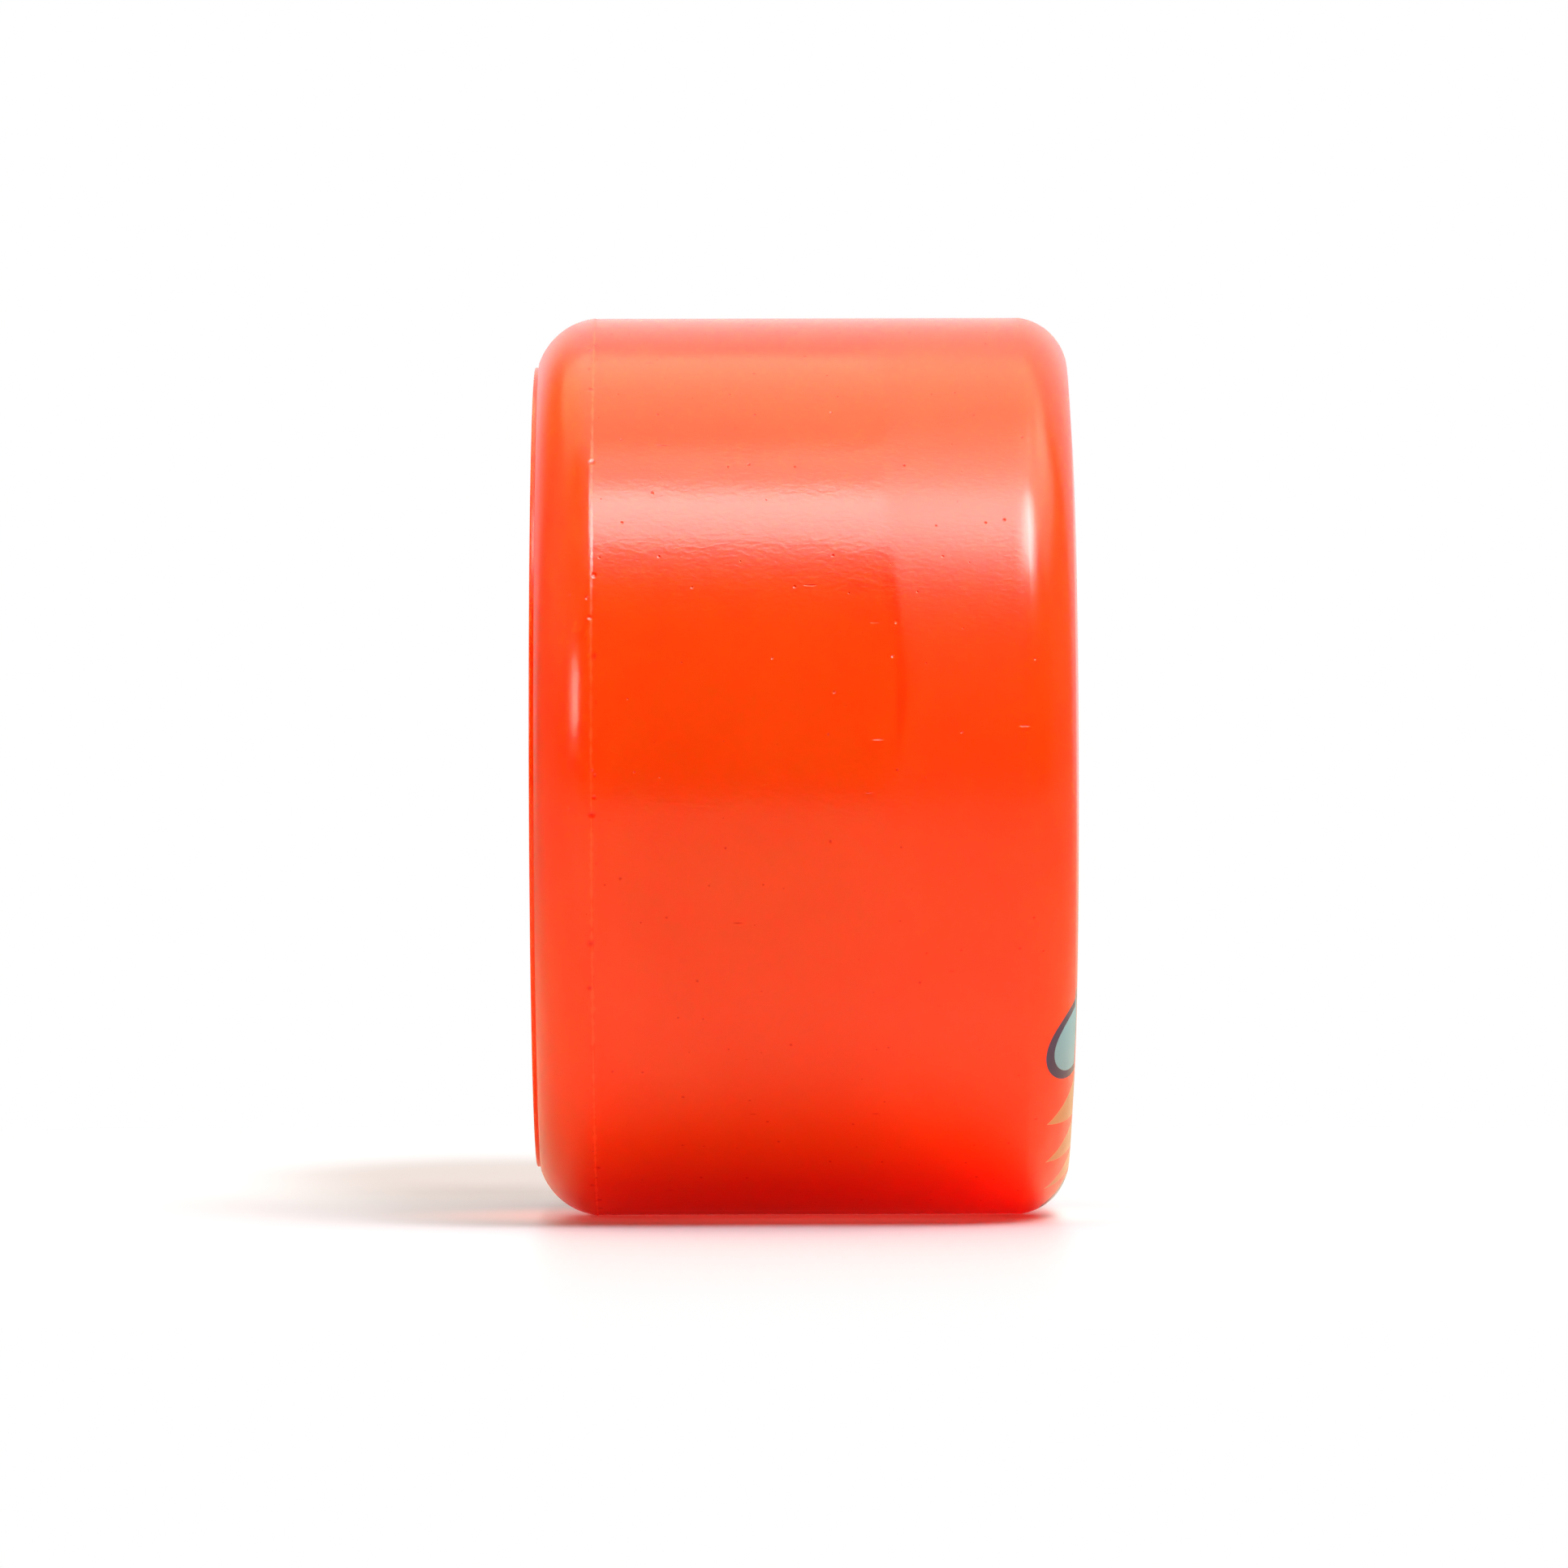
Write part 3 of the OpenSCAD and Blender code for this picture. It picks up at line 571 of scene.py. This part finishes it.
def makeShield(shape, name, middle, out):
    edge, step, inner, sheet = shape["outerRadius"], shape["stepRadius"], shape["innerRadius"], shape["sheet"]
    low, high = shape["edgeFace"], shape["edgeFace"] + shape["rise"]
    top, curlEnd = step - shape["rise"], high - shape["curl"]
    at = lambda height: middle + out * height
    path = ((edge, low), (step, low), (top, high), (inner, high), (inner, curlEnd), (inner + sheet, curlEnd),
            (inner + sheet, high - sheet), (top, high - sheet), (step, low - sheet), (edge, low - sheet))
    bm = bmesh.new()
    v = bmesh.ops.create_vert(bm, co=(edge * mm, at(low - sheet) * mm, 0.0))["vert"][0]
    for radius, height in path:
        v = lineTo(bm, v, radius, at(height))
    rounds = ((inner, at(high), shape["curlRound"], shape["curlCuts"]),
              (top, at(high), shape["stepRound"], shape["stepCuts"]),
              (step, at(low), shape["stepRound"], shape["stepCuts"]))
    return spinPiece(bm, name, rounds, shape["turnCuts"])


# glass-filled nylon of the ball cages: near black, satin, with short pale fibres in the skin (mm)
cageLook = {
    "skin": "#242426", "fibre": "#4A4A4C", "roughness": 0.48, "fibreShine": 0.15,
    "fibreWide": 0.12, "fibreLong": 0.9, "fibreFrom": (0.58, 0.72), "fibreDepth": 0.01,
    "nodes": ("front_ball_cage", "back_ball_cage"),
}


def makeCageNylon(look):
    material, tree, shader, place = newMaterial("glassFilledNylon", {"IOR": 1.53})
    fibreWide, fibreLong = 1 / (look["fibreWide"] * mm), 1 / (look["fibreLong"] * mm)
    lie = addNode(tree, "VectorMath", {"operation": "MULTIPLY", 1: (fibreWide, fibreLong, fibreWide)},
                  {0: place}).outputs[0]
    fibre = addNode(tree, "TexNoise", {"Scale": 1.0, "Detail": 2.0}, {0: lie}).outputs["Fac"]
    fibreIn = addNode(tree, "MapRange", {"From Min": look["fibreFrom"][0], "From Max": look["fibreFrom"][1]},
                      {"Value": fibre}).outputs[0]
    colour = addNode(tree, "Mix", {"data_type": "RGBA", 6: tint(look["skin"]), 7: tint(look["fibre"])},
                     {0: fibreIn}).outputs[2]
    tree.links.new(colour, shader.inputs["Base Color"])
    roughness = addNode(tree, "MapRange", {
        "To Min": look["roughness"], "To Max": look["roughness"] - look["fibreShine"]},
        {"Value": fibreIn}).outputs[0]
    tree.links.new(roughness, shader.inputs["Roughness"])
    bump = addNode(tree, "Bump", {"Strength": 1.0, "Distance": look["fibreDepth"] * mm},
                   {"Height": fibre}).outputs[0]
    tree.links.new(bump, shader.inputs["Normal"])
    return material


nodes["hub_core"].material_slots[0].material = makeNylon(nylonLook)
for name, look in metalLooks.items():
    metal = makeMetal(name, look)
    for nodeName in look["nodes"]:
        nodes[nodeName].material_slots[0].material = metal
for side, (middle, out) in shieldShape["places"].items():
    shield = makeShield(shieldShape, side + "Shield", middle, out)
    shield.data.materials.append(bpy.data.materials["pressedShieldSteel"])
    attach(shield, "wheel")
    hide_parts(side + "_outboard_shield")
cageNylon = makeCageNylon(cageLook)
for nodeName in cageLook["nodes"]:
    nodes[nodeName].material_slots[0].material = cageNylon
print("core, bearings and spacer finished")


# lamps: a softbox with a brighter middle over the front, a scrim on top, fills at both sides
# (metres, degrees)
lamps = {
    "frontSoftbox": {"from": (0.61, 0.24, 1.222), "size": (1.0, 0.4), "turn": -33, "glow": 9.3,
                     "colour": "#FFFFFF"},
    "softboxHeart": {"from": (0.63, 0.36, 1.188), "size": (0.38, 0.54), "turn": -33, "glow": 18.4,
                     "colour": "#FFFFFF"},
    "softboxSkirt": {"from": (0.2, 0.15, 1.35), "size": (0.9, 0.4), "turn": 0, "glow": 3.2,
                     "colour": "#FFEFDC"},
    "topScrim": {"from": (-0.35, 0.15, 1.5), "size": (3.0, 1.3), "turn": 0, "glow": 1.8, "colour": "#FFE9B4"},
    "rightFill": {"from": (0.05, 0.85, 1.1), "size": (0.9, 0.7), "turn": 0, "glow": 2.8, "colour": "#FFEFDC"},
    "leftFill": {"from": (0.33, -1.0, 0.5), "size": (1.7, 1.5), "turn": 0, "glow": 0.32, "colour": "#FFE2B8"},
    "leftLamp": {"from": (0.666, -0.555, 0.243), "size": (0.18, 0.22), "turn": 0, "glow": 10.8,
                 "colour": "#FFF4E4"},
}
for name, lamp in lamps.items():
    wide, tall = lamp["size"]
    light = bpy.data.lights.new(name, "AREA")
    light.shape = "RECTANGLE"
    light.size, light.size_y = wide, tall
    light.color = tint(lamp["colour"])[:3]
    light.energy = lamp["glow"] * math.pi * wide * tall  # watts that give this brightness
    holder = bpy.data.objects.new(name, light)
    holder.location = lamp["from"]
    facing = (-Vector(lamp["from"])).to_track_quat("-Z", "Y").to_matrix()
    holder.rotation_euler = (facing @ Matrix.Rotation(math.radians(lamp["turn"]), 3, "Z")).to_euler()
    scene.collection.objects.link(holder)
print("lamps hung")


# pale painted board: satin floor that keeps the cast shadow and fades to white; near the wheel it carries
# painted light: a red glow, a paler patch, red bounce, painted reflections and a painted shadow (metres)
boardLook = {
    "size": 8.0, "below": 0.02 * mm, "roughness": 0.38,
    # the colour seen under the wheel is painted paler: painted light in the contact shadow
    "seen": "#C4C6D0", "paintedLightUnder": "#F2EAE8",
    # what it throws back on the wheel: painted red bounce light near the wheel, neutral to the sides
    "bounce": "#FFB8A8", "bounceSide": "#F3EDE8", "paintedRedBounceUnder": "#FF5A3C",
    # what the tread mirrors: painted reflections, warm, dark red near the contact, dimmer and warm far off
    "mirror": "#CDBF9E", "mirrorUnder": "#D8381A", "mirrorFar": "#FFF0D2", "mirrorGlow": 0.8,
    "endFade": (0.22, 0.262),
    # painted red glow on the floor near the contact, standing in for light let through the urethane
    "glow": "#FF4A3E", "paintedGlowSeen": 0.34, "paintedGlowBounce": 0.16,
    # ovals round the contact and where they fade, and the fade to the sides
    "underWay": (1, 0.75, 0), "underFade": (6 * mm, 26 * mm), "bounceFade": (10 * mm, 90 * mm),
    "nearWay": (1, 1.15, 0), "nearFade": (7 * mm, 33 * mm), "sideFade": (30 * mm, 100 * mm),
    # fade to white, and a painted soft shadow on the floor behind the wheel's left, cast by no lamp (its fade
    # in shares of its reach)
    "whiteMid": (-0.02, -0.01), "whiteFade": (0.07, 0.2),
    "shade": "#A29A9C", "paintedShadowMid": (-0.086, -0.026), "paintedShadowReach": (0.055, 0.022), "paintedShadowFade": (0.4, 1.25),
}
# darkPaint also paints the reflection dark past the floor's pretend table end: a painted reflection
darkPaint = "#060606"  # the room, and what is mirrored past the end of the table
floorZ = cadBox[0].z
bm = bmesh.new()
bmesh.ops.create_grid(bm, x_segments=1, y_segments=1, size=0.5)
bmesh.ops.scale(bm, vec=(boardLook["size"], boardLook["size"], 1.0), verts=bm.verts)
bmesh.ops.translate(bm, vec=(0, 0, floorZ - boardLook["below"]), verts=bm.verts)
floorMesh = bpy.data.meshes.new("floor")
bm.to_mesh(floorMesh)
bm.free()
floor = bpy.data.objects.new("floor", floorMesh)
scene.collection.objects.link(floor)

paleBoard, tree, shader, place = newMaterial("paleBoard", {"Roughness": boardLook["roughness"]})
away = addNode(tree, "VectorMath", {"operation": "DISTANCE", 1: (*boardLook["whiteMid"], floorZ)},
               {0: place}).outputs["Value"]
fade = addNode(tree, "MapRange", {
    "interpolation_type": "SMOOTHSTEP",
    "From Min": boardLook["whiteFade"][0], "From Max": boardLook["whiteFade"][1]}, {"Value": away}).outputs[0]
path = addNode(tree, "LightPath").outputs
seen = addNode(tree, "Math", {"operation": "MAXIMUM"},
               {0: path["Is Camera Ray"], 1: path["Is Glossy Ray"]}).outputs[0]
seenAll = addNode(tree, "Math", {"operation": "MAXIMUM"},
                  {0: seen, 1: path["Is Transmission Ray"]}).outputs[0]
spread = addNode(tree, "SeparateXYZ", {}, {0: place}).outputs
# painted reflection: glossy rays see the floor dark past this line, as if a table ended in front
pastEnd = addNode(tree, "MapRange", {
    "interpolation_type": "SMOOTHSTEP",
    "From Min": boardLook["endFade"][0], "From Max": boardLook["endFade"][1]},
    {"Value": spread["X"]}).outputs[0]
paintedDarkReflection = addNode(tree, "Math", {"operation": "MULTIPLY"}, {0: pastEnd, 1: path["Is Glossy Ray"]}).outputs[0]
beforeDarkReflection = addNode(tree, "Math", {"operation": "SUBTRACT", 0: 1.0}, {1: paintedDarkReflection}).outputs[0]
whiteAll = addNode(tree, "Math", {"operation": "MULTIPLY"}, {0: fade, 1: seenAll}).outputs[0]
white = addNode(tree, "Math", {"operation": "MULTIPLY"}, {0: whiteAll, 1: beforeDarkReflection}).outputs[0]
# close to the contact: painted light makes the floor paler in its contact shadow, and the painted red glow is
# strongest
under = addNode(tree, "VectorMath", {"operation": "MULTIPLY", 1: boardLook["underWay"]},
                {0: place}).outputs[0]
underAway = addNode(tree, "VectorMath", {"operation": "LENGTH"}, {0: under}).outputs["Value"]
underAmount = addNode(tree, "MapRange", {
    "interpolation_type": "SMOOTHSTEP",
    "From Min": boardLook["underFade"][0], "From Max": boardLook["underFade"][1]},
    {"Value": underAway}).outputs[0]
shown = addNode(tree, "Mix",
                {"data_type": "RGBA", 6: tint(boardLook["paintedLightUnder"]), 7: tint(boardLook["seen"])},
                {0: underAmount}).outputs[2]
acrossSize = addNode(tree, "Math", {"operation": "ABSOLUTE"}, {0: spread["Y"]}).outputs[0]
beside = addNode(tree, "MapRange", {
    "interpolation_type": "SMOOTHSTEP",
    "From Min": boardLook["sideFade"][0], "From Max": boardLook["sideFade"][1]},
    {"Value": acrossSize}).outputs[0]
# painted red bounce: the floor throws back redder light near the wheel than it shows
nearWay = addNode(tree, "VectorMath", {"operation": "MULTIPLY", 1: boardLook["nearWay"]},
                  {0: place}).outputs[0]
nearAway = addNode(tree, "VectorMath", {"operation": "LENGTH"}, {0: nearWay}).outputs["Value"]
nearBy = addNode(tree, "MapRange", {
    "interpolation_type": "SMOOTHSTEP",
    "From Min": boardLook["nearFade"][0], "From Max": boardLook["nearFade"][1]},
    {"Value": nearAway}).outputs[0]
paintedRedBounceNear = addNode(tree, "Mix", {
    "data_type": "RGBA", 6: tint(boardLook["paintedRedBounceUnder"]), 7: tint(boardLook["bounce"])},
    {0: nearBy}).outputs[2]
bounce = addNode(tree, "Mix", {"data_type": "RGBA", 7: tint(boardLook["bounceSide"])},
                 {0: beside, 6: paintedRedBounceNear}).outputs[2]
# painted soft shadow behind the wheel's left side, not cast by a lamp
paintedShadowOff = addNode(tree, "VectorMath", {"operation": "SUBTRACT", 1: (*boardLook["paintedShadowMid"], floorZ)},
                   {0: place}).outputs[0]
paintedShadowWay = addNode(tree, "VectorMath", {"operation": "DIVIDE", 1: (*boardLook["paintedShadowReach"], 1.0)},
                   {0: paintedShadowOff}).outputs[0]
paintedShadowAway = addNode(tree, "VectorMath", {"operation": "LENGTH"}, {0: paintedShadowWay}).outputs["Value"]
paintedShadow = addNode(tree, "MapRange", {
    "interpolation_type": "SMOOTHSTEP", "To Min": 1.0, "To Max": 0.0,
    "From Min": boardLook["paintedShadowFade"][0], "From Max": boardLook["paintedShadowFade"][1]},
    {"Value": paintedShadowAway}).outputs[0]
shown = addNode(tree, "Mix", {"data_type": "RGBA", 7: tint(boardLook["shade"])},
                {0: paintedShadow, 6: shown}).outputs[2]
# painted reflection: glossy rays see the floor warm, and dark red near the contact
mirrored = addNode(tree, "Mix", {
    "data_type": "RGBA", 6: tint(boardLook["mirrorUnder"]), 7: tint(boardLook["mirror"])},
    {0: nearBy}).outputs[2]
shown = addNode(tree, "Mix", {"data_type": "RGBA"},
                {0: path["Is Glossy Ray"], 6: shown, 7: mirrored}).outputs[2]
table = addNode(tree, "Mix", {"data_type": "RGBA"}, {0: seenAll, 6: bounce, 7: shown}).outputs[2]
board = addNode(tree, "Mix", {"data_type": "RGBA", 7: tint(darkPaint)}, {0: paintedDarkReflection, 6: table}).outputs[2]
# painted red glow: the floor emits it close to the contact for the camera, and wider for the light it throws
# back
paintedGlowNear = addNode(tree, "MapRange", {"To Min": boardLook["paintedGlowSeen"], "To Max": 0.0},
                     {"Value": underAmount}).outputs[0]
paintedGlowThrown = addNode(tree, "MapRange", {
    "interpolation_type": "SMOOTHSTEP", "To Min": boardLook["paintedGlowBounce"], "To Max": 0.0,
    "From Min": boardLook["bounceFade"][0], "From Max": boardLook["bounceFade"][1]},
    {"Value": underAway}).outputs[0]
through = addNode(tree, "Mix", {"data_type": "FLOAT"},
                  {0: path["Is Camera Ray"], 2: paintedGlowThrown, 3: paintedGlowNear}).outputs[0]
shader.inputs["Emission Color"].default_value = tint(boardLook["glow"])
tree.links.new(through, shader.inputs["Emission Strength"])
tree.links.new(board, shader.inputs["Base Color"])
# painted reflection: glossy rays see the far floor dimmer and warmer
mirrorStrength = addNode(tree, "MapRange", {"To Min": 1.0, "To Max": boardLook["mirrorGlow"]},
                         {"Value": path["Is Glossy Ray"]}).outputs[0]
mirrorTone = addNode(tree, "Mix", {"data_type": "RGBA", 6: (1, 1, 1, 1), 7: tint(boardLook["mirrorFar"])},
                     {0: path["Is Glossy Ray"]}).outputs[2]
farBoard = addNode(tree, "Emission", {}, {"Strength": mirrorStrength, "Color": mirrorTone})
blend = addNode(tree, "MixShader", {}, {0: white, 1: shader.outputs[0], 2: farBoard.outputs[0]})
tree.links.new(blend.outputs[0], tree.nodes["Material Output"].inputs["Surface"])
floor.data.materials.append(paleBoard)
print("floor laid")


# dark room behind the camera: a curved wall whose sides glow warm only for glossy rays, a painted reflection
# that the lips and the steel mirror (metres)
roomShape = {
    "radius": 1.15, "height": 1.37, "turn": math.radians(124), "cuts": 40, "roughness": 0.9,
    "side": "#FFF5D6", "paintedSideGlow": 0.35, "sideFade": (math.radians(45), math.radians(85)),
}
bm = bmesh.new()
corner = bmesh.ops.create_vert(bm, co=(roomShape["radius"] * math.cos(roomShape["turn"]),
                                       -roomShape["radius"] * math.sin(roomShape["turn"]), floorZ))["vert"]
edge = bmesh.ops.extrude_vert_indiv(bm, verts=corner)
bmesh.ops.translate(bm, vec=(0, 0, roomShape["height"]), verts=edge["verts"])
bmesh.ops.spin(bm, geom=corner + edge["verts"] + edge["edges"], cent=(0, 0, 0), axis=(0, 0, 1),
               angle=2 * roomShape["turn"], steps=roomShape["cuts"], use_merge=False, use_duplicate=False)
roomMesh = bpy.data.meshes.new("darkRoom")
bm.to_mesh(roomMesh)
bm.free()
room = bpy.data.objects.new("darkRoom", roomMesh)
scene.collection.objects.link(room)
roomLook, tree, shader, place = newMaterial("darkRoom", {
    "Base Color": tint(darkPaint), "Roughness": roomShape["roughness"], "Specular IOR Level": 0.0})
axes = addNode(tree, "SeparateXYZ", {}, {0: place}).outputs
turn = addNode(tree, "Math", {"operation": "ARCTAN2"}, {0: axes["Y"], 1: axes["X"]}).outputs[0]
turnSize = addNode(tree, "Math", {"operation": "ABSOLUTE"}, {0: turn}).outputs[0]
beside = addNode(tree, "MapRange", {
    "interpolation_type": "SMOOTHSTEP", "To Max": roomShape["paintedSideGlow"],
    "From Min": roomShape["sideFade"][0], "From Max": roomShape["sideFade"][1]},
    {"Value": turnSize}).outputs[0]
path = addNode(tree, "LightPath").outputs
# painted reflection: the sides glow only in reflections
mirrored = addNode(tree, "Math", {"operation": "MULTIPLY"}, {0: beside, 1: path["Is Glossy Ray"]}).outputs[0]
shader.inputs["Emission Color"].default_value = tint(roomShape["side"])
tree.links.new(mirrored, shader.inputs["Emission Strength"])
room.data.materials.append(roomLook)
room.visible_camera = False


# white backdrop: the tyre mirrors it dimmer and warmer high on the left
backdropLook = {"ambient": 0.56, "highLeft": "#D8BE74", "leftFade": (-0.2, -0.45), "highFade": (0.2, 0.45)}
world = bpy.data.worlds.new("studioWorld")
scene.world = world
world.use_nodes = True
tree = world.node_tree
soft = tree.nodes["Background"]
soft.inputs["Color"].default_value = (1, 1, 1, 1)
soft.inputs["Strength"].default_value = backdropLook["ambient"]
path = addNode(tree, "LightPath").outputs
way = addNode(tree, "SeparateXYZ", {}, {0: addNode(tree, "TexCoord").outputs["Generated"]}).outputs
leftward = addNode(tree, "MapRange", {
    "From Min": backdropLook["leftFade"][0], "From Max": backdropLook["leftFade"][1]},
    {"Value": way["Y"]}).outputs[0]
upward = addNode(tree, "MapRange", {
    "From Min": backdropLook["highFade"][0], "From Max": backdropLook["highFade"][1]},
    {"Value": way["Z"]}).outputs[0]
upLeft = addNode(tree, "Math", {"operation": "MULTIPLY"}, {0: leftward, 1: upward}).outputs[0]
dimmed = addNode(tree, "Math", {"operation": "MULTIPLY"}, {0: upLeft, 1: path["Is Glossy Ray"]}).outputs[0]
backdrop = addNode(tree, "Mix", {"data_type": "RGBA", 6: (1, 1, 1, 1), 7: tint(backdropLook["highLeft"])},
                   {0: dimmed}).outputs[2]
plain = addNode(tree, "Background", {"Strength": 1.0}, {"Color": backdrop})
seen = addNode(tree, "Math", {"operation": "MAXIMUM"},
               {0: path["Is Camera Ray"], 1: path["Is Glossy Ray"]}).outputs[0]
seenAll = addNode(tree, "Math", {"operation": "MAXIMUM"},
                  {0: seen, 1: path["Is Transmission Ray"]}).outputs[0]
blend = addNode(tree, "MixShader", {}, {0: seenAll, 1: soft.outputs[0], 2: plain.outputs[0]})
tree.links.new(blend.outputs[0], tree.nodes["World Output"].inputs["Surface"])
print("studio set")
